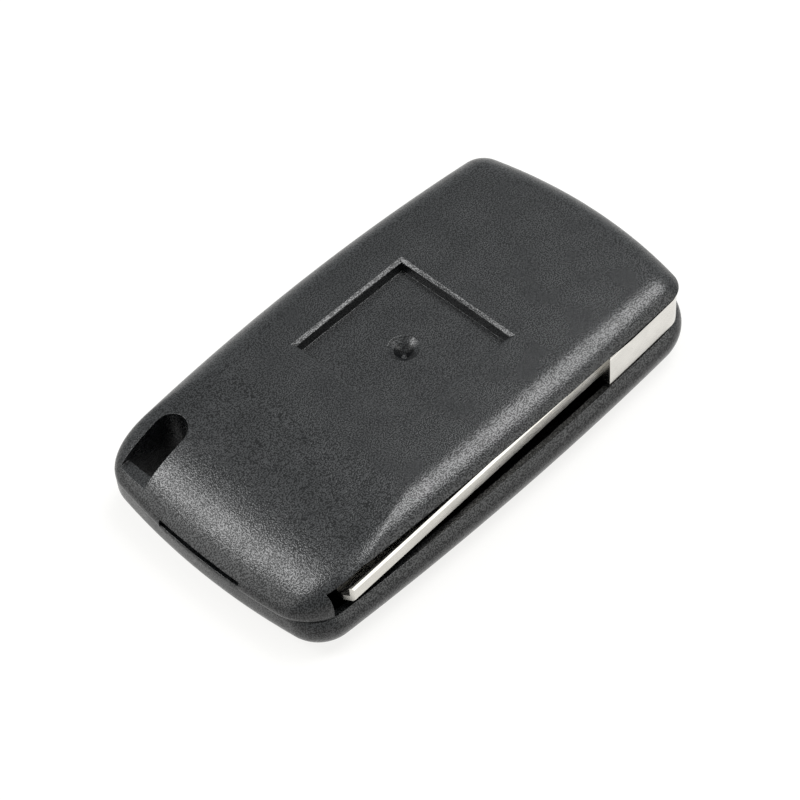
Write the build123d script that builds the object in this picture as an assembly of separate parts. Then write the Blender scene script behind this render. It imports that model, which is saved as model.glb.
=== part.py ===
# Folding car key case: two moulded halves, a die-cast blade head that flips out
# about a vertical pivot, an uncut blade, a sprung release button and three keys.
#
# Frame, in millimetres: +X runs from the key ring end to the blade head end,
# -Y is the long side where the folded blade shows, +Z is up. The case lies on its
# key side, so the keys face down and the back, with its bare badge recess, is up.
# The origin is the middle of the case's footprint.

from build123d import *
from math import cos, radians, sin, sqrt
import os

os.makedirs("parts", exist_ok=True)

# Case outline, seen from above
case_length = 70.2
case_width = 39.6
ring_end_bow = 1.75
head_end_bow = 2.45
near_side_bow = 1.33
far_side_bow = 1.65
ring_near_corner = 5.0
ring_far_corner = 4.4
head_near_corner = 7.4
head_far_corner = 3.8
corner_shrink = 0.7
corner_least = 0.4

# Case heights and walls
case_height = 12.4
parting_height = 5.5
roof_thickness = 1.55
floor_thickness = 1.4
front_wall = 1.7
back_wall = 1.5
divider_wall = 1.0

# Rounding of the front half, which sets back a little under the ring end
front_step = 0.15
foot_round = 3.6
rim_lean = 0.9
head_rim_lean = 0.6
rim_lean_height = 1.8
parting_groove = 0.12

# Rounding of the back half, which sets in a little over the front half's edge
back_near_step = 0.5
back_far_step = 0.5
back_head_step = 0.6
back_head_near_corner = 4.2
back_ring_near_corner_low = 6.8
back_ring_near_corner_high = 2.8
back_ring_bow_high = 0.15
back_near_bow_high = 0.1
near_roll_width = 4.8
near_roll_height = 3.0
far_round = 4.3
head_round = 4.2
ring_roll_length = 21.0

# Badge recess, left bare
badge_x = 1.15
badge_y = 1.15
badge_size = 17.6
badge_ledge_width = 0.8
badge_ledge_drop = 0.27
badge_depth = 1.5
badge_backing = 1.05
dimple_diameter = 4.1
dimple_depth = 1.0

# Key ring slot through the corner of both halves
ring_slot_from_far_side = 6.85
ring_slot_width = 4.6
ring_slot_from_end = 10.7
ring_bar_width = 3.5
ring_slot_sill = 8.0
ring_slot_wall = 1.0

# Pry notch that opens the halves
pry_length = 13.6
pry_height = 1.2
pry_depth = 1.2

# Blade, folded beside the electronics bay
pivot_from_head_end = 9.1
pivot_from_near_side = 10.7
folded_lean = 1.8
blade_width = 7.6
blade_thickness = 2.3
blade_low = 6.5
blade_edge_offset = 7.78
blade_tip_gap = 1.95
blade_root = 5.5
blade_tip_near_cut = 1.2
blade_tip_near_run = 0.7
blade_tip_far_cut = 3.0
blade_edge_bevel = 0.25
blade_rim = 0.5
blade_groove_width = 2.9
blade_groove_depth = 1.4
blade_groove_start = 11.5

# Blade head
head_clearance = 0.22
head_radius = 10.2
head_shoulder = 9.7
head_heel = 1.5
head_case_step = 1.0
head_end_step = 2.0
head_case_corner = 2.8
head_edge_round = 0.4
cavity_clearance = 0.3
channel_clearance = 0.35
channel_end_wall = 4.85
channel_end_round = 1.3
channel_roof_skin = 0.45
head_bore_radius = 4.75
head_hub_wall = 0.75
head_hub_drop = 0.85
head_web_thickness = 2.1
blade_pin_diameter = 1.6
blade_pin_bore = 0.7
blade_pin_split = 0.35
blade_pin_place = 7.7

# Pivot cap, keyed into the roof above the head
cap_flange_radius = 4.6
cap_flange_thickness = 0.75
cap_key_width = 7.4
cap_skirt_radius = 3.5
cap_skirt_wall = 0.6
cap_skirt_depth = 1.9
running_clearance = 0.07

# Release button
button_radius = 4.45
button_set_back = 0.3
button_face_thickness = 1.2
button_top = 5.0
button_travel = 1.4
button_bore_radius = 3.2
button_gap = 0.12
button_dish = 0.35
lug_count = 4
lug_width = 2.2
lug_length = 0.9
lug_gap = 0.15
boss_wall = 1.0

# Flip spring inside button, head and cap
spring_radius = 2.3
spring_wire = 0.8
spring_wire_sides = 6
spring_turns = 4
spring_end_gap = 0.15

# Keys and the rubber pad behind them
key_count = 3
key_names = ("unlock_key", "boot_key", "lock_key")
key_pitch = 11.5
first_key_from_end = 18.1
key_from_divider = 8.93
key_length = 8.6
key_width = 14.0
key_corner = 3.0
key_gap = 0.15
key_set_back = 0.25
key_flange = 0.8
key_flange_thickness = 0.7
key_lift = 0.05
key_travel = 0.5
key_dish = 0.3
key_edge_round = 0.3
pad_margin = 0.85
pad_skirt = 0.6
pad_thickness = 0.8
pad_dome_radius = 3.0
pad_dome_height = 0.7
pad_clearance = 0.05
peg_radius = 0.5
peg_height = 0.5
peg_inset = 1.15
peg_gap = 0.05
peg_boss_wall = 0.5

# Lip and snap hooks of the back half
lip_gap = 0.1
lip_thickness = 0.8
lip_depth = 1.0
lip_root = 0.9
hook_length = 5.0
hook_reach = 0.45
hook_height = 0.8
hook_gap = 0.15
far_hook_x = (-14.0, 12.0)
ring_hook_y = 0.0

# Coin cell seat and its two contacts
cell_from_badge = 17.15
cell_radius = 8.0
cell_gap = 0.15
seat_wall = 0.9
seat_low = 7.9
seat_window = 6.0
contact_thickness = 0.25
contact_width = 4.0
minus_length = 11.0
contact_drop = 0.85
stake_radius = 0.6
stake_spacing = 7.0
plus_foot = 3.2
plus_height = 2.8
plus_drop = 0.6

ring_end_x = -case_length / 2
pivot_x = case_length / 2 - pivot_from_head_end
pivot_y = -case_width / 2 + pivot_from_near_side
channel_end_x = ring_end_x + channel_end_wall
blade_reach = pivot_x - channel_end_x - blade_tip_gap
blade_groove_offset = blade_edge_offset - blade_rim - blade_groove_width / 2
ring_slot_y = case_width / 2 - ring_slot_from_far_side
ring_slot_inner_x = ring_end_x + ring_slot_from_end
ring_bar_inner_x = ring_end_x + ring_bar_width
first_key_x = ring_end_x + first_key_from_end
divider_y = pivot_y - blade_edge_offset + blade_width + channel_clearance + divider_wall
key_y = divider_y + key_from_divider
cell_x = badge_x - cell_from_badge
cell_y = key_y
roof_height = case_height - roof_thickness
backing_low = case_height - badge_depth - badge_backing
blade_top = blade_low + blade_thickness
head_low = parting_height + head_clearance
head_high = roof_height - head_clearance
hub_low = head_low - head_hub_drop
lug_low = floor_thickness + head_clearance / 3
lug_high = hub_low - head_clearance - button_travel - lug_gap
beyond = 30.0


def block(low, high):
    """A box between two opposite corners."""
    size = [b - a for a, b in zip(low, high)]
    middle = [(a + b) / 2 for a, b in zip(low, high)]
    return Pos(*middle) * Box(*size)


def disc(x, y, low, high, radius):
    """A vertical cylinder between two heights."""
    return Pos(x, y, (low + high) / 2) * Cylinder(radius, high - low)


def rounded_plate(x, y, low, high, length, width, corner):
    """A flat plate with rounded corners in plan."""
    return extrude(Pos(x, y, low) * RectangleRounded(length, width, corner), high - low)


def quarter_drop(depth, radius, height):
    """How far a rounded edge has drawn in at a depth below its top face."""
    rise = 1 - min(1, depth / height)
    return radius * (1 - sqrt(max(0, 1 - rise * rise)))


def case_outline(
        height, near=0.0, far=0.0, ring=0.0, head=0.0,
        ring_bow=ring_end_bow, near_bow=near_side_bow,
        ring_corner=ring_near_corner, head_corner=head_near_corner):
    """The bowed four-sided plan at one height, drawn in by an amount on each side."""
    x_ring = -case_length / 2 + ring
    x_head = case_length / 2 - head
    y_near = -case_width / 2 + near
    y_far = case_width / 2 - far
    x_ring_corner = x_ring + ring_bow
    x_head_corner = x_head - head_end_bow
    ring_near = (x_ring_corner, y_near + near_bow * (x_ring_corner / ring_end_x) ** 2)
    head_near = (x_head_corner, y_near + near_bow * (x_head_corner / ring_end_x) ** 2)
    head_far = (x_head_corner, y_far - far_side_bow)
    ring_far = (x_ring_corner, y_far - far_side_bow)
    sides = [
        ThreePointArc(ring_near, (0, y_near), head_near),
        ThreePointArc(head_near, (x_head, 0), head_far),
        ThreePointArc(head_far, (0, y_far), ring_far),
        ThreePointArc(ring_far, (x_ring, 0), ring_near),
    ]
    plan = make_face(Curve() + sides)
    corners = [
        (ring_near, ring_corner),
        (head_near, head_corner),
        (head_far, head_far_corner),
        (ring_far, ring_far_corner),
    ]
    step = corner_shrink * max(0, min(near, far, ring, head))
    for point, radius in corners:
        corner = plan.vertices().sort_by_distance(Vector(*point, 0))[0]
        plan = fillet(corner, max(corner_least, radius - step))
    return Pos(0, 0, height) * plan


def inset_prism(inset, low, high):
    """The case plan drawn in evenly, as a straight prism."""
    return extrude(case_outline(low, inset, inset, inset, inset), high - low)


def back_form(inset, top):
    """The rolled upper body of the case, drawn in evenly, up to a top face.

    Towards the top the ring end and the near side straighten and the corner between
    them tightens.
    """
    roll_height = top - parting_height
    near_width = near_roll_width - inset
    near_height = near_roll_height - inset
    far_radius = far_round - inset
    head_radius_here = head_round - inset
    ring_bow_change = ring_end_bow - back_ring_bow_high
    near_bow_change = near_side_bow - back_near_bow_high
    corner_change = back_ring_near_corner_low - back_ring_near_corner_high
    slices = []
    for angle in (0, 18, 34, 48, 60, 70, 79, 85, 90):
        rise = sin(radians(angle))
        depth = roll_height * (1 - rise)
        slices.append(case_outline(
            top - depth,
            near=inset + back_near_step + quarter_drop(depth, near_width, near_height),
            far=inset + back_far_step + quarter_drop(depth, far_radius, far_radius),
            ring=inset + quarter_drop(depth, ring_roll_length - inset, roll_height),
            head=inset + back_head_step + quarter_drop(depth, head_radius_here, head_radius_here),
            ring_bow=back_ring_bow_high + ring_bow_change * (1 - rise) ** 2,
            near_bow=back_near_bow_high + near_bow_change * (1 - rise ** 5),
            ring_corner=back_ring_near_corner_low - corner_change * rise,
            head_corner=back_head_near_corner,
        ))
    return loft(slices)


def channel_roof():
    """The height limit of the blade channel: flat, then following the ring end's roll."""
    centre_x = ring_end_x + 2 * back_ring_bow_high + ring_roll_length
    centre_z = parting_height - channel_roof_skin
    roll_height = case_height - parting_height
    width = 2 * case_width
    roll = Pos(centre_x, 0, centre_z) * extrude(
        Plane.XZ * Ellipse(ring_roll_length, roll_height), width / 2, both=True)
    rest = block((centre_x, -case_width, 0), (case_length, case_width, roof_height))
    below = block((-case_length, -case_width, -1), (centre_x, case_width, centre_z))
    limit = block((-case_length, -case_width, -1), (case_length, case_width, roof_height))
    return (roll + rest + below) & limit


def blade_channel():
    """The blade's and head's space in the back half, its roof rounded into the end wall."""
    channel = blade_space(0, roof_height) & channel_roof()
    end_edges = channel.edges().filter_by(Axis.Y).sort_by(Axis.X)[:2]
    return fillet(end_edges.sort_by(Axis.Z)[-1], channel_end_round)


def front_form():
    """The tray-shaped lower body, with a rounded foot and a rim that leans in."""
    slices = []
    for angle in (90, 78, 64, 48, 30, 12, 0):
        inset = foot_round * (1 - cos(radians(angle)))
        height = foot_round * (1 - sin(radians(angle)))
        slices.append(case_outline(height, inset, inset, inset + front_step, inset))
    middle = parting_height - rim_lean_height / 2
    if middle > foot_round:
        slices.append(case_outline(middle, rim_lean * 0.3, 0, front_step, 0))
    slices.append(case_outline(
        parting_height, rim_lean, parting_groove, front_step + parting_groove, head_rim_lean))
    return loft(slices)


def front_hollow():
    """The space inside the lower body, with a rounded bottom edge."""
    edge_round = foot_round - front_wall
    slices = []
    for angle in (90, 60, 30, 0):
        inset = front_wall + edge_round * (1 - cos(radians(angle)))
        height = floor_thickness + edge_round * (1 - sin(radians(angle)))
        slices.append(case_outline(height, inset, inset, inset, inset))
    base = loft(slices)
    return base + inset_prism(front_wall, floor_thickness + edge_round, parting_height + 1)


def blade_space(low, high, margin=0.0):
    """The space that the folded blade and the turning head need, in plan."""
    sweep = disc(pivot_x, pivot_y, low, high, head_radius + cavity_clearance + margin)
    channel = block(
        (channel_end_x - margin, -beyond, low),
        (pivot_x, divider_y - divider_wall + margin, high),
    )
    head_flank = case_width / 2 - head_case_step + pivot_y
    mouth = block(
        (pivot_x, -beyond, low),
        (case_length, pivot_y + head_flank + cavity_clearance + margin, high),
    )
    return sweep + channel + mouth


def ring_hole(inner_x, bar_x, low, high, margin=0.0):
    """The upright hole for the key ring, round at its inner end."""
    radius = ring_slot_width / 2 + margin
    middle_x = inner_x - ring_slot_width / 2
    straight = block(
        (bar_x - margin, ring_slot_y - radius, low),
        (middle_x, ring_slot_y + radius, high),
    )
    return straight + disc(middle_x, ring_slot_y, low, high, radius)


def badge_recess():
    """A square pocket with a shallow sloping ledge round it and a dimple in its floor."""
    floor = case_height - badge_depth
    pocket = block(
        (badge_x - badge_size / 2, badge_y - badge_size / 2, floor),
        (badge_x + badge_size / 2, badge_y + badge_size / 2, case_height + 1),
    )
    inner = Pos(badge_x, badge_y, case_height - badge_ledge_drop) * Rectangle(badge_size, badge_size)
    outer_size = badge_size + 2 * badge_ledge_width
    outer = Pos(badge_x, badge_y, case_height) * Rectangle(outer_size, outer_size)
    ledge = loft([inner, outer])
    cone_height = dimple_depth
    cone = Pos(badge_x, badge_y, floor - cone_height / 2) * Cone(
        dimple_diameter / 8, dimple_diameter / 2, cone_height)
    return pocket + ledge + cone


def badge_backing_block():
    """The thicker roof behind the recess and its dimple."""
    half = badge_size / 2 + badge_backing
    floor = case_height - badge_depth
    plate = block(
        (badge_x - half, badge_y - half, backing_low),
        (badge_x + half, badge_y + half, case_height),
    )
    pad_radius = dimple_diameter / 2 + badge_backing
    return plate + disc(badge_x, badge_y, backing_low - dimple_depth, floor, pad_radius)


def lip_zone():
    """Where the two halves meet wall to wall and the lip can run."""
    keep = inset_prism(0, parting_height - lip_depth - hook_height, parting_height + lip_root)
    keep -= blade_space(0, case_height, divider_wall + lip_gap)
    keep -= ring_hole(ring_slot_inner_x, ring_end_x, 0, case_height, ring_slot_wall + lip_gap)
    return keep


def back_lip():
    """The lip that seats inside the lower body, with its snap hooks."""
    outer = front_wall + lip_gap
    inner = outer + lip_thickness
    low = parting_height - lip_depth
    tongue = inset_prism(outer, low, parting_height) - inset_prism(inner, low, parting_height)
    root_top = parting_height + lip_root
    root = inset_prism(back_wall - 0.1, parting_height, root_top)
    root -= inset_prism(inner, parting_height, root_top)
    lip = (tongue + root) & lip_zone()
    for x, y, length_x, length_y in hook_places(outer):
        lip += block(
            (x - length_x / 2, y - length_y / 2, low - hook_height),
            (x + length_x / 2, y + length_y / 2, parting_height),
        ) & (inset_prism(outer, low - hook_height, parting_height)
             - inset_prism(inner, low - hook_height, parting_height))
        lip += hook_bump(x, y, length_x, length_y, outer, 0)
    return lip


def hook_places(inset):
    """Centre and plan size of each snap hook's zone on the lip."""
    places = []
    for x in far_hook_x:
        y = case_width / 2 - inset - far_side_bow / 2
        places.append((x, y, hook_length, 2 * lip_thickness + far_side_bow))
    ring_x = -case_length / 2 + inset
    places.append((ring_x, ring_hook_y, 2 * lip_thickness + ring_end_bow, hook_length))
    return places


def hook_bump(x, y, length_x, length_y, outer, gap):
    """The catch of one hook, or with a gap the pocket that it snaps into."""
    low = parting_height - lip_depth - hook_height - gap
    high = parting_height - lip_depth + gap
    band = inset_prism(outer - hook_reach - gap, low, high)
    band -= inset_prism(outer + lip_thickness / 2, low, high)
    return band & block(
        (x - length_x / 2 - gap, y - length_y / 2 - gap, low),
        (x + length_x / 2 + gap, y + length_y / 2 + gap, high),
    )


def cell_seat():
    """The ring wall under the roof that holds a coin cell, with a window for a contact."""
    radius = cell_radius + cell_gap
    top = roof_height + roof_thickness / 2
    ring = disc(cell_x, cell_y, seat_low, top, radius + seat_wall)
    ring -= disc(cell_x, cell_y, seat_low, top, radius)
    ring -= block(
        (cell_x, cell_y - seat_window / 2, seat_low),
        (cell_x + 2 * radius, cell_y + seat_window / 2, backing_low),
    )
    return ring


def stake_places():
    """Plan position and seat height of the stakes: two for the minus contact, one for the plus."""
    return [
        (cell_x + stake_spacing / 2, cell_y, roof_height - contact_drop),
        (cell_x - stake_spacing / 2, cell_y, roof_height - contact_drop),
        (plus_contact_x() + plus_foot / 2, cell_y, backing_low - plus_drop),
    ]


def plus_contact_x():
    return cell_x + cell_radius + cell_gap


def stakes():
    """Stepped posts: a seat for the strip and a pin through it."""
    posts = Part()
    for x, y, seat in stake_places():
        top = seat + max(contact_drop, plus_drop) + stake_radius
        posts += disc(x, y, seat - contact_thickness, top, stake_radius)
        posts += disc(x, y, seat, top, 2 * stake_radius)
    return posts


def cap_key(low, high, gap=0.0):
    """The keyed flange shape of the pivot cap."""
    flange = disc(pivot_x, pivot_y, low, high, cap_flange_radius + gap)
    half_key = cap_key_width / 2 + gap
    return flange & block(
        (pivot_x - half_key, pivot_y - beyond, low),
        (pivot_x + half_key, pivot_y + beyond, high),
    )


def make_back_shell():
    outer = back_form(0, case_height)
    inner = back_form(back_wall, roof_height)
    bay = inner - blade_space(0, case_height, divider_wall) - badge_backing_block()
    bay -= ring_hole(ring_slot_inner_x, ring_end_x, 0, case_height, ring_slot_wall)
    shell = outer - blade_channel() - bay
    shell -= badge_recess()
    shell -= ring_hole(ring_slot_inner_x, ring_bar_inner_x, 0, case_height + 1)
    shell -= block(
        (-case_length, ring_slot_y - ring_slot_width / 2, ring_slot_sill),
        (ring_slot_inner_x - ring_slot_width / 2, ring_slot_y + ring_slot_width / 2, case_height + 1),
    )
    shell -= block(
        (-case_length, -pry_length / 2, 0),
        (-case_length / 2 + pry_depth, pry_length / 2, parting_height + pry_height),
    )
    shell -= cap_key(roof_height - 1, roof_height + cap_flange_thickness)
    shell += back_lip()
    shell += cell_seat() & inner
    shell += stakes()
    return shell


def key_places():
    return [(first_key_x + key_pitch * number, key_y) for number in range(key_count)]


def pad_size():
    """Length, width and centre of the rubber pad, from the keys that it covers."""
    edge = key_flange + pad_margin
    length = key_pitch * (key_count - 1) + key_length + 2 * edge
    width = key_width + 2 * edge
    return length, width, first_key_x + key_pitch * (key_count - 1) / 2


def peg_places():
    length, width, middle = pad_size()
    half_x = length / 2 - peg_inset
    half_y = width / 2 - peg_inset
    return [(middle + a * half_x, key_y + b * half_y) for a in (-1, 1) for b in (-1, 1)]


def lugs(low, high, radius, width):
    """The crossed bars that guide the release button."""
    bars = Part()
    for number in range(lug_count // 2):
        bar = Box(2 * radius, width, high - low)
        bars += Pos(pivot_x, pivot_y, (low + high) / 2) * Rot(0, 0, 45 + 90 * number) * bar
    return bars & disc(pivot_x, pivot_y, low, high, radius)


def make_front_shell():
    bay_wall_top = parting_height
    walls = blade_space(0, bay_wall_top, divider_wall) - blade_space(0, bay_wall_top)
    hub_radius = head_bore_radius + head_hub_wall
    seat_radius = hub_radius + running_clearance
    boss = disc(pivot_x, pivot_y, 0, bay_wall_top, seat_radius + boss_wall)
    tunnel = ring_hole(ring_slot_inner_x, ring_end_x, 0, bay_wall_top, ring_slot_wall)
    hollow = front_hollow() - walls - boss - tunnel
    shell = front_form() - hollow
    shell -= disc(pivot_x, pivot_y, -1, case_height, button_radius + button_gap)
    shell -= disc(pivot_x, pivot_y, hub_low - head_clearance, case_height, seat_radius)
    shell -= lugs(
        floor_thickness, case_height,
        button_radius + lug_length + lug_gap, lug_width + 2 * lug_gap)
    shell -= ring_hole(ring_slot_inner_x, ring_bar_inner_x, -1, case_height)
    for x, y in key_places():
        shell -= rounded_plate(
            x, y, -1, floor_thickness + 0.5,
            key_length + 2 * key_gap, key_width + 2 * key_gap, key_corner + key_gap)
    peg_top = floor_thickness + key_flange_thickness + key_lift + key_travel + pad_thickness + peg_height
    for x, y in peg_places():
        shell += disc(x, y, floor_thickness / 2, peg_top, peg_radius)
    outer = front_wall + lip_gap
    for place in hook_places(outer):
        shell -= hook_bump(*place, outer, hook_gap)
    return shell


def placed_with_blade(shape):
    """Turn a shape drawn along +X from the pivot to where the folded blade lies."""
    return Pos(pivot_x, pivot_y, 0) * Rot(0, 0, 180 + folded_lean) * shape


def blade_blank():
    """The flat bar of the blade, drawn along +X from the pivot."""
    far_edge = blade_edge_offset - blade_width
    plan = Polyline(
        (blade_root, far_edge),
        (blade_reach - blade_tip_far_cut, far_edge),
        (blade_reach, far_edge + blade_tip_far_cut),
        (blade_reach, blade_edge_offset - blade_tip_near_cut),
        (blade_reach - blade_tip_near_run, blade_edge_offset),
        (blade_root, blade_edge_offset),
        close=True,
    )
    return extrude(Pos(0, 0, blade_low) * make_face(plan), blade_thickness)


def groove(y, low, high):
    """One long milled groove: round where it starts, and running out through the tip."""
    radius = blade_groove_width / 2
    run = block((blade_groove_start, y - radius, low), (blade_reach + 1, y + radius, high))
    return run + disc(blade_groove_start, y, low, high, radius)


def make_blade():
    blank = blade_blank()
    far_edge = blade_edge_offset - blade_width
    long_edges = [
        edge for edge in blank.edges().filter_by(Axis.X)
        if abs(edge.center().Y - blade_edge_offset) < 0.01
    ]
    blank = chamfer(long_edges, blade_edge_bevel)
    blank -= groove(blade_groove_offset, blade_top - blade_groove_depth, blade_top + 1)
    blank -= groove(
        far_edge + blade_edge_offset - blade_groove_offset,
        blade_low - 1, blade_low + blade_groove_depth)
    blank -= disc(
        blade_pin_place, blade_edge_offset - blade_width / 2,
        blade_low - 1, blade_top + 1, blade_pin_diameter / 2)
    return placed_with_blade(blank)


def make_blade_head():
    round_part = disc(0, 0, head_low, head_high, head_radius)
    shoulder = block((0, -head_heel, head_low), (head_shoulder, head_radius + 2, head_high))
    body = placed_with_blade(round_part + shoulder)
    step = head_case_step
    case_end = case_outline(
        head_low, step, step, step, head_end_step,
        head_corner=head_case_corner + corner_shrink * step)
    body &= extrude(case_end, head_high - head_low)
    rims = body.faces().sort_by(Axis.Z)[-1].edges() + body.faces().sort_by(Axis.Z)[0].edges()
    body = chamfer(rims, head_edge_round / 2)
    hub_radius = head_bore_radius + head_hub_wall
    body += disc(pivot_x, pivot_y, hub_low, head_low + 1, hub_radius)
    web_low = head_high - head_web_thickness
    body -= disc(pivot_x, pivot_y, hub_low - 1, web_low, head_bore_radius)
    body -= disc(pivot_x, pivot_y, web_low - 1, head_high + 1, cap_skirt_radius + running_clearance)
    tang = block(
        (blade_root, blade_edge_offset - blade_width, blade_low),
        (head_shoulder + 2, blade_edge_offset, blade_top),
    )
    body -= placed_with_blade(tang)
    pin_hole = disc(
        blade_pin_place, blade_edge_offset - blade_width / 2,
        head_low - 1, head_high + 1, blade_pin_diameter / 2)
    body -= placed_with_blade(pin_hole)
    return body


def make_blade_pin():
    """A split spring pin that holds the blade in the head."""
    y = blade_edge_offset - blade_width / 2
    low = head_low + head_edge_round
    high = head_high - head_edge_round
    pin = disc(blade_pin_place, y, low, high, blade_pin_diameter / 2)
    pin -= disc(blade_pin_place, y, low - 1, high + 1, blade_pin_bore / 2)
    pin -= block(
        (blade_pin_place - blade_pin_split / 2, y, low - 1),
        (blade_pin_place + blade_pin_split / 2, y + blade_pin_diameter, high + 1),
    )
    return placed_with_blade(pin)


def make_pivot_cap():
    """A pressed steel cap: a keyed flange in the roof and a skirt that the head turns on."""
    cap = cap_key(roof_height, roof_height + cap_flange_thickness)
    cap += disc(pivot_x, pivot_y, roof_height - cap_skirt_depth, roof_height + 0.1, cap_skirt_radius)
    cap -= disc(pivot_x, pivot_y, 0, roof_height, cap_skirt_radius - cap_skirt_wall)
    return cap


def make_release_button():
    button = disc(pivot_x, pivot_y, button_set_back, button_top, button_radius)
    face = button.faces().sort_by(Axis.Z)[0]
    button = chamfer(face.edges(), button_dish)
    bore_low = button_set_back + button_face_thickness
    button += lugs(lug_low, lug_high, button_radius + lug_length, lug_width)
    button -= disc(pivot_x, pivot_y, bore_low, case_height, button_bore_radius)
    sphere_radius = button_radius * button_radius / (2 * button_dish)
    button -= Pos(pivot_x, pivot_y, button_set_back + button_dish - sphere_radius) * Sphere(sphere_radius)
    return button


def make_flip_spring():
    """One coil spring with a straight leg at each end, its wire drawn with flats."""
    leg_radius = 0.52 * spring_wire
    low = button_set_back + button_face_thickness + leg_radius + spring_end_gap / 5
    high = roof_height - spring_end_gap - leg_radius
    path = Pos(pivot_x, pivot_y, low) * Helix((high - low) / spring_turns, high - low, spring_radius)
    section = Plane(origin=path @ 0, z_dir=path % 0) * RegularPolygon(spring_wire / 2, spring_wire_sides)
    coil = sweep(section, path=path, is_frenet=True)
    leg = Rot(0, 90, 0) * Cylinder(leg_radius, spring_radius + spring_wire)
    for height in (low, high):
        coil += Pos(pivot_x + spring_radius / 2, pivot_y, height) * leg
    return coil


def make_key(x, y):
    """One key cap: a rounded plate with a flange that keeps it in the case."""
    flange_low = floor_thickness + key_lift
    cap = rounded_plate(x, y, key_set_back, flange_low + 0.1, key_length, key_width, key_corner)
    face = cap.faces().sort_by(Axis.Z)[0]
    cap = fillet(face.edges(), key_edge_round)
    cap += rounded_plate(
        x, y, flange_low, flange_low + key_flange_thickness,
        key_length + 2 * key_flange, key_width + 2 * key_flange, key_corner + key_flange)
    dish_radius = key_width * key_width / (8 * key_dish)
    dish = Rot(0, 90, 0) * Cylinder(dish_radius, key_length / 2)
    return cap - Pos(x, y, key_set_back + key_dish - dish_radius) * dish


def make_key_pad():
    """The rubber pad: a skirted sheet with a dome over each key."""
    length, width, middle = pad_size()
    low = floor_thickness
    under = floor_thickness + key_lift + key_flange_thickness + key_travel + pad_clearance
    top = under + pad_thickness
    pad = rounded_plate(middle, key_y, low, top, length, width, peg_inset)
    pad -= rounded_plate(
        middle, key_y, low, under,
        length - 2 * pad_skirt, width - 2 * pad_skirt, peg_inset - pad_skirt)
    hole_radius = peg_radius + peg_gap
    for x, y in peg_places():
        pad += disc(x, y, low, top, hole_radius + peg_boss_wall)
        pad -= disc(x, y, low, top, hole_radius)
    for x, y in key_places():
        pad += Pos(x, y, top + pad_dome_height / 2) * Cone(
            pad_dome_radius, pad_dome_radius * 0.7, pad_dome_height)
    return pad


def make_minus_contact():
    """A flat strip with a raised finger, staked under the roof inside the cell seat."""
    high = stake_places()[0][2]
    low = high - contact_thickness
    strip = block(
        (cell_x - minus_length / 2, cell_y - contact_width / 2, low),
        (cell_x + minus_length / 2, cell_y + contact_width / 2, high),
    )
    ends = strip.edges().filter_by(Axis.Z)
    strip = fillet(ends, contact_width / 4)
    strip += disc(cell_x, cell_y, low - contact_thickness, low, contact_width / 4)
    for x, y, seat in stake_places()[:2]:
        strip -= disc(x, y, low, high, stake_radius)
    return strip


def make_plus_contact():
    """A bent strip: a staked foot under the roof and a leg at the cell's rim."""
    x, y, high = stake_places()[2]
    low = high - contact_thickness
    x_leg = plus_contact_x()
    half = contact_width / 2
    foot = block((x_leg, y - half, low), (x_leg + plus_foot, y + half, high))
    leg = block((x_leg, y - half, high - plus_height), (x_leg + contact_thickness, y + half, high))
    return foot + leg - disc(x, y, low, high, stake_radius)


pieces = {
    "back_shell": make_back_shell(),
    "front_shell": make_front_shell(),
    "blade_head": make_blade_head(),
    "blade": make_blade(),
    "blade_pin": make_blade_pin(),
    "pivot_cap": make_pivot_cap(),
    "release_button": make_release_button(),
    "flip_spring": make_flip_spring(),
    "key_pad": make_key_pad(),
    "battery_contact_minus": make_minus_contact(),
    "battery_contact_plus": make_plus_contact(),
}
for name, (key_x, key_row_y) in zip(key_names, key_places()):
    pieces[name] = make_key(key_x, key_row_y)

for name, shape in pieces.items():
    export_step(shape, f"parts/{name}.step")
    print(name, len(shape.solids()), round(shape.volume, 2))
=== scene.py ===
# %% [markdown]
# # A folding car key case, from its frame to its finish
#
# The object is an empty plastic key case for a car remote, lying on its key side. Its two
# moulded halves hold a chromed head with an uncut blade, and the blade swings out when a
# round button is pressed. The construction model gives every piece at its real size. This
# lesson puts the looks around it: mould grain, plated metal, edges and studio light.

# %% The frame
import math

import bpy
from mathutils import Matrix, Vector


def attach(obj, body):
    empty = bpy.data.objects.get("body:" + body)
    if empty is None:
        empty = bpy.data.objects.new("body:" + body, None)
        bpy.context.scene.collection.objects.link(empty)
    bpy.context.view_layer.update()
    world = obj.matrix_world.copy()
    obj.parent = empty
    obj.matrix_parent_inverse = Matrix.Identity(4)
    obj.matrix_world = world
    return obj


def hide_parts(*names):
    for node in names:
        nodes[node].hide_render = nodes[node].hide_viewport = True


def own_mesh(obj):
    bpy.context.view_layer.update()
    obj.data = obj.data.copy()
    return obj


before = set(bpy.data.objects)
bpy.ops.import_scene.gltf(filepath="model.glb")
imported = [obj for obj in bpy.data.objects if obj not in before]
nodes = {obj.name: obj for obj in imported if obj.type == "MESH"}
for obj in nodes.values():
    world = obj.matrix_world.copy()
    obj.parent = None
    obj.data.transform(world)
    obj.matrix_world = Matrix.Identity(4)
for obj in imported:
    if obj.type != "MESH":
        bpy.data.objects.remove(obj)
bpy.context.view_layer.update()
MM = 0.001
print("pieces in the frame:", len(nodes))

# %% [markdown]
# ## The camera
#
# The case was photographed from above its near left corner with a long lens, so its far
# edges hardly shrink. The camera stands a third of a metre away and is set by a point that
# it looks at, two angles and a small roll, which is easier to read than three rotations.
# The numbers were fitted to the outline, the badge recess and the parting line.

# %% The camera
aim = Vector((-2.825, -1.8335, 7.0)) * MM
azimuth = math.radians(-42.041)
elevation = math.radians(50.496)
roll = math.radians(-4.756)
distance = 334.936 * MM
lens_mm = 124.47

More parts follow.
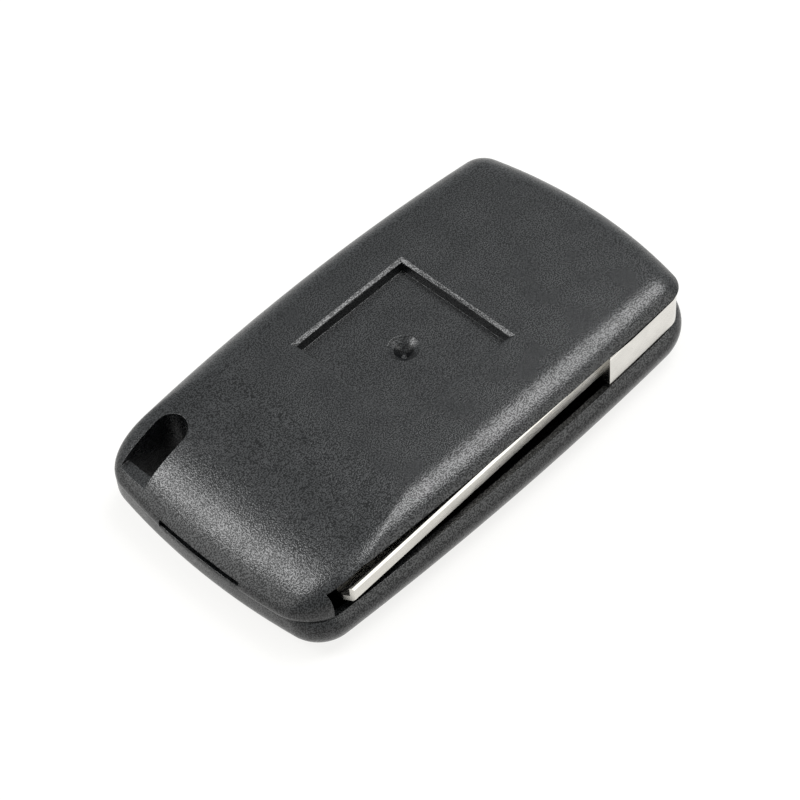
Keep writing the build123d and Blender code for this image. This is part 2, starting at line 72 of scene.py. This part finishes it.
backward = Vector((
    math.sin(azimuth) * math.cos(elevation),
    -math.cos(azimuth) * math.cos(elevation),
    math.sin(elevation)))
level_right = Vector((math.cos(azimuth), math.sin(azimuth), 0))
level_up = backward.cross(level_right)
camera_x = math.cos(roll) * level_right + math.sin(roll) * level_up
camera_y = -math.sin(roll) * level_right + math.cos(roll) * level_up

camera_data = bpy.data.cameras.new("camera")
camera_data.lens = lens_mm
camera_data.sensor_width = 36
camera_data.clip_start = 0.01
camera = bpy.data.objects.new("camera", camera_data)
bpy.context.collection.objects.link(camera)
camera.matrix_world = Matrix.Translation(aim + distance * backward) @ Matrix(
    (camera_x, camera_y, backward)).transposed().to_4x4()
bpy.context.scene.camera = camera
print("camera at", [round(v, 3) for v in camera.matrix_world.translation])

# %% [markdown]
# ## Helpers for the finishes
#
# Every finish is a small node tree. Its patterns read Object coordinates, which are metres
# in the frame, so a pattern's scale is a real size: a grain of 0.2 mm needs a scale of
# about 5000. Each helper adds one step to a tree, such as a noise with a given grain size,
# a range, a pair of tones or a relief.

# %% Helpers for node trees
def new_finish(name):
    """A material with an empty tree, its shader and its output."""
    finish = bpy.data.materials.new(name)
    finish.use_nodes = True
    tree = finish.node_tree
    tree.nodes.clear()
    shader = tree.nodes.new("ShaderNodeBsdfPrincipled")
    output = tree.nodes.new("ShaderNodeOutputMaterial")
    tree.links.new(shader.outputs["BSDF"], output.inputs["Surface"])
    return finish, tree, shader


def place_source(tree, stretch=(1, 1, 1)):
    """Object coordinates, stretched along an axis for streaks."""
    source = tree.nodes.new("ShaderNodeTexCoord")
    mapping = tree.nodes.new("ShaderNodeMapping")
    mapping.inputs["Scale"].default_value = stretch
    tree.links.new(source.outputs["Object"], mapping.inputs["Vector"])
    return mapping.outputs["Vector"]


def grain(tree, where, size_mm, detail=2.0, roughness=0.5):
    """A noise whose blobs are about one size across."""
    noise = tree.nodes.new("ShaderNodeTexNoise")
    noise.inputs["Scale"].default_value = 1 / (size_mm * MM)
    noise.inputs["Detail"].default_value = detail
    noise.inputs["Roughness"].default_value = roughness
    tree.links.new(where, noise.inputs["Vector"])
    return noise.outputs["Fac"]


def spread(tree, value, low, high, from_low=0.3, from_high=0.7):
    """A value mapped to a range. Most of a noise lies between 0.3 and 0.7."""
    ranged = tree.nodes.new("ShaderNodeMapRange")
    ranged.inputs["From Min"].default_value = from_low
    ranged.inputs["From Max"].default_value = from_high
    ranged.inputs["To Min"].default_value = low
    ranged.inputs["To Max"].default_value = high
    tree.links.new(value, ranged.inputs["Value"])
    return ranged.outputs["Result"]


def tone_colour(tree, shader, value, dark, light):
    """The shader's colour, between two tones, led by a value from 0 to 1."""
    mix = tree.nodes.new("ShaderNodeMix")
    mix.data_type = "RGBA"
    mix.inputs[6].default_value = (*dark, 1)
    mix.inputs[7].default_value = (*light, 1)
    tree.links.new(value, mix.inputs[0])
    tree.links.new(mix.outputs[2], shader.inputs["Base Color"])


def relief(tree, value, shader, height_mm, under=None):
    """Fine relief on the surface, as tall as its real height."""
    bump = tree.nodes.new("ShaderNodeBump")
    bump.inputs["Strength"].default_value = 1
    bump.inputs["Distance"].default_value = height_mm * MM
    tree.links.new(value, bump.inputs["Height"])
    if under is not None:
        tree.links.new(under, bump.inputs["Normal"])
    tree.links.new(bump.outputs["Normal"], shader.inputs["Normal"])


print("helpers ready")

# %% [markdown]
# ## Moulded black plastic
#
# The halves are moulded in a tool with a spark-eroded surface: a fine, even grain that
# breaks the light into tiny flecks. It could be real geometry, but grain of 0.2 mm over the
# whole case would need millions of faces, so it is in the finish: the same grain leads the
# relief, the tone and the shine.

# %% Moulded black plastic
mould_grain_mm = 0.17
mould_cloud_mm = 4.0
mould_edge_mm = 0.09
pit_below = 0.43
crest_above = 0.57
pit_shine = 0.27
crest_shine = 0.69


def soft_edge(tree, radius_mm):
    """The small round that every moulded edge has."""
    edge = tree.nodes.new("ShaderNodeBevel")
    edge.samples = 6
    edge.inputs["Radius"].default_value = radius_mm * MM
    return edge.outputs["Normal"]


def moulded_plastic(name, pit, crest, rough_low, rough_high, grain_height_mm):
    """Grained plastic: its pits are darker and shine less than its crests."""
    finish, tree, shader = new_finish(name)
    where = place_source(tree)
    fine = grain(tree, where, mould_grain_mm, detail=0)
    cloudy = grain(tree, where, mould_cloud_mm, detail=3)
    crests = spread(tree, fine, 0, 1, pit_below, crest_above)
    shine = spread(tree, crests, pit_shine, crest_shine, 0, 1)
    tone_colour(tree, shader, crests, pit, crest)
    tree.links.new(shine, shader.inputs["Specular IOR Level"])
    tree.links.new(spread(tree, cloudy, rough_low, rough_high), shader.inputs["Roughness"])
    relief(tree, fine, shader, grain_height_mm, under=soft_edge(tree, mould_edge_mm))
    return finish


case_plastic = moulded_plastic(
    "case_plastic", pit=(0.001, 0.0012, 0.0014), crest=(0.0052, 0.006, 0.0068),
    rough_low=0.24, rough_high=0.32, grain_height_mm=0.024)
key_plastic = moulded_plastic(
    "key_plastic", pit=(0.012, 0.012, 0.0125), crest=(0.024, 0.024, 0.025),
    rough_low=0.42, rough_high=0.55, grain_height_mm=0.02)
print("plastics:", case_plastic.name, key_plastic.name)

# %% [markdown]
# ## Plated and steel parts
#
# The head is chromed and the blade nickelled: both are bright, slightly warm and not quite
# a mirror, with faint lengthwise streaks from grinding. A metal's look is its reflections,
# so the finish is almost only a reflection colour and a roughness drawn out in streaks.

# %% Plated and steel parts
streak_stretch = (0.06, 1, 1)
streak_width_mm = 0.12
stain_size_mm = 2.5
stain_tone = 0.9


def plated_metal(name, colour, rough_low, rough_high, streak_height_mm):
    """Metal with lengthwise streaks and faintly darker patches."""
    finish, tree, shader = new_finish(name)
    along = place_source(tree, streak_stretch)
    streaks = grain(tree, along, streak_width_mm, detail=3, roughness=0.6)
    stain = grain(tree, place_source(tree), stain_size_mm)
    darker = tuple(stain_tone * part for part in colour)
    tone_colour(tree, shader, spread(tree, stain, 0, 1), darker, colour)
    tree.links.new(spread(tree, streaks, rough_low, rough_high), shader.inputs["Roughness"])
    relief(tree, streaks, shader, streak_height_mm)
    shader.inputs["Metallic"].default_value = 1.0
    return finish


head_chrome = plated_metal("head_chrome", (0.74, 0.72, 0.68), 0.16, 0.3, 0.002)
blade_nickel = plated_metal("blade_nickel", (0.72, 0.70, 0.65), 0.2, 0.36, 0.003)
spring_steel = plated_metal("spring_steel", (0.45, 0.44, 0.42), 0.28, 0.4, 0.002)
print("metals:", head_chrome.name, blade_nickel.name, spring_steel.name)

# %% [markdown]
# ## Rubber
#
# The pad behind the keys is silicone rubber: matt, a little grey, with a soft sheen. With
# it, every piece has its finish.

# %% Rubber
rubber_grain_mm = 0.15
rubber_cloud_mm = 1.5


def soft_rubber(name, dark, light):
    """Matt rubber with a fine grain and faint clouds."""
    finish, tree, shader = new_finish(name)
    where = place_source(tree)
    cloudy = grain(tree, where, rubber_cloud_mm, detail=3)
    fine = grain(tree, where, rubber_grain_mm)
    tone_colour(tree, shader, spread(tree, cloudy, 0, 1), dark, light)
    tree.links.new(spread(tree, fine, low=0.6, high=0.75), shader.inputs["Roughness"])
    relief(tree, fine, shader, height_mm=0.006)
    return finish


pad_rubber = soft_rubber("pad_rubber", (0.045, 0.045, 0.047), (0.06, 0.06, 0.062))
print("rubber:", pad_rubber.name)

# %% A finish for every node
finish_of = {
    "back_shell": case_plastic,
    "front_shell": case_plastic,
    "blade_head": head_chrome,
    "blade": blade_nickel,
    "blade_pin": spring_steel,
    "pivot_cap": spring_steel,
    "release_button": head_chrome,
    "flip_spring": spring_steel,
    "key_pad": pad_rubber,
    "battery_contact_minus": blade_nickel,
    "battery_contact_plus": blade_nickel,
    "unlock_key": key_plastic,
    "boot_key": key_plastic,
    "lock_key": key_plastic,
}
for name, finish in finish_of.items():
    node = nodes[name]
    node.data.materials.clear()
    node.data.materials.append(finish)
print("finished nodes:", len(finish_of))

# %% [markdown]
# ## Edges as they were moulded and ground
#
# Two pieces are shaped further here. The ledge round the badge recess is steep enough to
# catch the light on both far sides, and the dimple runs down to a small pit. The chromed
# head has a crisp top edge, so a dark gap shows between it and the back half. The spring
# keeps its form.

# %% Copies for edit mode
merge_within_mm = 0.002
smooth_below = math.radians(16)


def take_up(piece):
    """Makes one piece the only selected and active one."""
    bpy.ops.object.select_all(action="DESELECT")
    piece.select_set(True)
    bpy.context.view_layer.objects.active = piece


def smooth(piece):
    """Shades the piece smooth, apart from its real edges."""
    take_up(piece)
    bpy.ops.object.shade_smooth_by_angle(angle=smooth_below)


def edit_copy(name, new_name):
    """A merged copy of a construction node that stands for it."""
    piece = bpy.data.objects.new(new_name, nodes[name].data.copy())
    bpy.context.collection.objects.link(piece)
    take_up(piece)
    bpy.ops.object.mode_set(mode="EDIT")
    bpy.ops.mesh.select_all(action="SELECT")
    bpy.ops.mesh.remove_doubles(threshold=merge_within_mm * MM)
    bpy.ops.mesh.customdata_custom_splitnormals_clear()
    bpy.ops.object.mode_set(mode="OBJECT")
    smooth(piece)
    return piece


def select_points(piece, chosen):
    """Selects the points that a test chooses and leaves the piece in edit mode."""
    take_up(piece)
    bpy.ops.object.mode_set(mode="EDIT")
    bpy.ops.mesh.select_all(action="DESELECT")
    bpy.ops.object.mode_set(mode="OBJECT")
    count = 0
    for point in piece.data.vertices:
        point.select = chosen(point.co / MM)
        count += point.select
    bpy.ops.object.mode_set(mode="EDIT")
    return count


bpy.context.tool_settings.mesh_select_mode = (True, False, False)
back_half = edit_copy("back_shell", "back_half")
head = edit_copy("blade_head", "head")
print("points:", len(back_half.data.vertices), len(head.data.vertices))

# %% The recess ledge
badge = Vector((1.15, 1.15, 12.4))
point_reach_mm = 0.02


def move_square(half, height, new_half, new_height):
    """Moves one square of the recess, told by its half width and its height in mm."""
    def on_square(place):
        across = max(abs(place.x - badge.x), abs(place.y - badge.y))
        return abs(across - half) < point_reach_mm and abs(place.z - height) < point_reach_mm

    count = select_points(back_half, on_square)
    grow = new_half / half
    bpy.ops.transform.resize(value=(grow, grow, 1), center_override=badge * MM)
    bpy.ops.transform.translate(value=(0, 0, (new_height - height) * MM))
    bpy.ops.object.mode_set(mode="OBJECT")
    return count


print("points at the ledge's outside:", move_square(9.6, 12.4, 9.62, 12.4))
print("points at the ledge's inside:", move_square(8.8, 12.13, 9.12, 12.12))
print("points at the foot of the wall:", move_square(8.8, 10.9, 8.94, 10.9))

# %% The pit under the dimple
pit_place = Vector((badge.x, badge.y, 9.85)) * MM
pit_foot = 0.3 * MM
pit_mouth = 1.35 * MM
pit_depth = 1.3 * MM
bpy.ops.object.select_all(action="DESELECT")
bpy.ops.mesh.primitive_cone_add(
    vertices=48, radius1=pit_foot, radius2=pit_mouth, depth=pit_depth, location=pit_place)
pit = bpy.context.object
take_up(back_half)
drill = back_half.modifiers.new("pit", "BOOLEAN")
drill.operation = "DIFFERENCE"
drill.object = pit
bpy.ops.object.modifier_apply(modifier="pit")
bpy.data.objects.remove(pit)
smooth(back_half)
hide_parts("back_shell")
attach(back_half, "case")
print("back half faces:", len(back_half.data.polygons))

# %% The head's top edge
head_top_above_mm = 10.5
head_lowered_mm = 0.185
count = select_points(head, lambda place: place.z > head_top_above_mm)
bpy.ops.transform.translate(value=(0, 0, -head_lowered_mm * MM))
bpy.ops.object.mode_set(mode="OBJECT")
smooth(head)
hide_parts("blade_head")
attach(head, "flip_blade")
head_top = max(point.co.z for point in head.data.vertices) / MM
print("points lowered:", count, "top at mm:", round(head_top, 2))

# %% The spring under the button
spring = edit_copy("flip_spring", "spring")
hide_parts("flip_spring")
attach(spring, "case")
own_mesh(spring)

# %% [markdown]
# ## Floor, world and lamps
#
# The photograph is a studio shot on white. The world is white all round, so the plastic
# carries an even grey reflection. A lamp draws the bright band on each rolled edge, one
# fills the corner between them, and two low panels light the lower sides. Under the key
# ring hole the floor carries a painted shadow: in a square there it does not glow, as the
# case would shade it, and from below the floor is clear.

# %% Floor
reach = 1.5
floor_drop = 0.0002
corners = [(-reach, -reach), (reach, -reach), (reach, reach), (-reach, reach)]
floor_mesh = bpy.data.meshes.new("floor")
floor_mesh.from_pydata([(x, y, -floor_drop) for x, y in corners], [], [(0, 1, 2, 3)])
floor = bpy.data.objects.new("floor", floor_mesh)
bpy.context.collection.objects.link(floor)
print("floor", 2 * reach, "m across")

# %% Helpers for the floor and the world
def step(tree, operation, first, second=0.0):
    """One arithmetic step between two values, each a socket or a number."""
    arithmetic = tree.nodes.new("ShaderNodeMath")
    arithmetic.operation = operation
    for side, value in enumerate((first, second)):
        if isinstance(value, bpy.types.NodeSocket):
            tree.links.new(value, arithmetic.inputs[side])
        else:
            arithmetic.inputs[side].default_value = value
    return arithmetic.outputs[0]


def blend_of(tree, share, first, second):
    """A shader that goes from the first to the second as the share goes from 0 to 1."""
    mix = tree.nodes.new("ShaderNodeMixShader")
    for side, value in enumerate((share, first, second)):
        tree.links.new(value, mix.inputs[side])
    return mix.outputs[0]


def seen_or_mirrored(tree):
    """1 for what the camera sees directly, mirrored or through glass."""
    path = tree.nodes.new("ShaderNodeLightPath").outputs
    seen = step(tree, "MAXIMUM", path["Is Camera Ray"], path["Is Glossy Ray"])
    return step(tree, "MAXIMUM", seen, path["Is Transmission Ray"])


def beyond_square(tree, middle, inside, outside):
    """0 inside a square round a place on the floor, rising to 1 at its outside."""
    place = tree.nodes.new("ShaderNodeTexCoord").outputs["Object"]
    sides = tree.nodes.new("ShaderNodeSeparateXYZ")
    tree.links.new(place, sides.inputs[0])
    shares = []
    for side in (0, 1):
        offset = step(tree, "SUBTRACT", sides.outputs[side], middle[side])
        apart = step(tree, "ABSOLUTE", offset)
        shares.append(spread(tree, apart, 0, 1, inside, outside))
    return step(tree, "MAXIMUM", *shares)


print("more helpers ready")

# %% Paper on the floor
paper_colour = (0.88, 0.88, 0.88, 1)
glow_colour = (1, 0.995, 0.98, 1)
glow_strength = 1.05
glow_share = 0.8
# The square of painted shadow under the key ring hole: its middle, and where it fades out.
shadow_square_middle = Vector((-28.0, 12.95, 0)) * MM
shadow_square_inside = 3.2 * MM
shadow_square_outside = 4.2 * MM

floor_finish = bpy.data.materials.new("floor_paper")
floor_finish.use_nodes = True
floor_tree = floor_finish.node_tree
floor_tree.nodes.clear()
paper = floor_tree.nodes.new("ShaderNodeBsdfDiffuse")
paper.inputs["Color"].default_value = paper_colour
glow = floor_tree.nodes.new("ShaderNodeEmission")
glow.inputs["Color"].default_value = glow_colour
glow.inputs["Strength"].default_value = glow_strength
clear = floor_tree.nodes.new("ShaderNodeBsdfTransparent")
below = floor_tree.nodes.new("ShaderNodeNewGeometry").outputs["Backfacing"]

# Painted shadow: in a square under the key ring hole the floor's glow is switched off, so
# the floor and its reflections in the slot show darker there.
clear_of_painted_shadow = beyond_square(floor_tree, shadow_square_middle, shadow_square_inside, shadow_square_outside)
lit_share = step(floor_tree, "MULTIPLY", seen_or_mirrored(floor_tree), clear_of_painted_shadow)
seen_share = step(floor_tree, "MULTIPLY", lit_share, glow_share)
seen_floor = blend_of(floor_tree, seen_share, paper.outputs[0], glow.outputs[0])
one_sided = blend_of(floor_tree, below, seen_floor, clear.outputs[0])
floor_out = floor_tree.nodes.new("ShaderNodeOutputMaterial")
floor_tree.links.new(one_sided, floor_out.inputs["Surface"])
floor_mesh.materials.append(floor_finish)
print("floor paper:", len(floor_tree.nodes), "nodes")

# %% World
room_colour = (0.96, 0.99, 1, 1)
room_light = 0.15
room_seen = 0.9

world = bpy.data.worlds.new("studio")
world.use_nodes = True
bpy.context.scene.world = world
world_tree = world.node_tree
world_tree.nodes.clear()
room = world_tree.nodes.new("ShaderNodeBackground")
room.inputs["Color"].default_value = room_colour
room_strength = spread(world_tree, seen_or_mirrored(world_tree), room_light, room_seen, 0, 1)
world_tree.links.new(room_strength, room.inputs["Strength"])
world_out = world_tree.nodes.new("ShaderNodeOutputWorld")
world_tree.links.new(room.outputs[0], world_out.inputs["Surface"])
print("world strength:", room_light, "as light and", room_seen, "as seen")

# %% Lamps
def soft_lamp(name, toward, distance_m, size_m, power, tint=(1, 1, 1)):
    """A square lamp out in one direction, facing the case."""
    data = bpy.data.lights.new(name, "AREA")
    data.size = size_m
    data.energy = power
    data.color = tint
    lamp = bpy.data.objects.new(name, data)
    bpy.context.collection.objects.link(lamp)
    place = Vector(toward).normalized() * distance_m
    facing = place.to_track_quat("Z", "Y").to_matrix().to_4x4()
    lamp.matrix_world = Matrix.Translation(place) @ facing


soft_lamp("ring_end_lamp", (-0.57, 0.64, 1.0), 1.0, 0.38, 4.2)
soft_lamp("near_side_lamp", (0.52, -0.07, 1.0), 1.0, 0.6, 7.6)
soft_lamp("corner_lamp", (0.1, -0.04, 1.0), 1.0, 0.4, 1.8)
soft_lamp("near_side_panel", (0.43, -0.8, 0.34), 1.2, 1.1, 4.2, (1, 0.98, 0.94))
soft_lamp("ring_end_panel", (-0.77, 0.47, 0.34), 1.2, 0.9, 3.6, (1, 0.99, 0.97))
bpy.context.scene.view_settings.view_transform = "Standard"
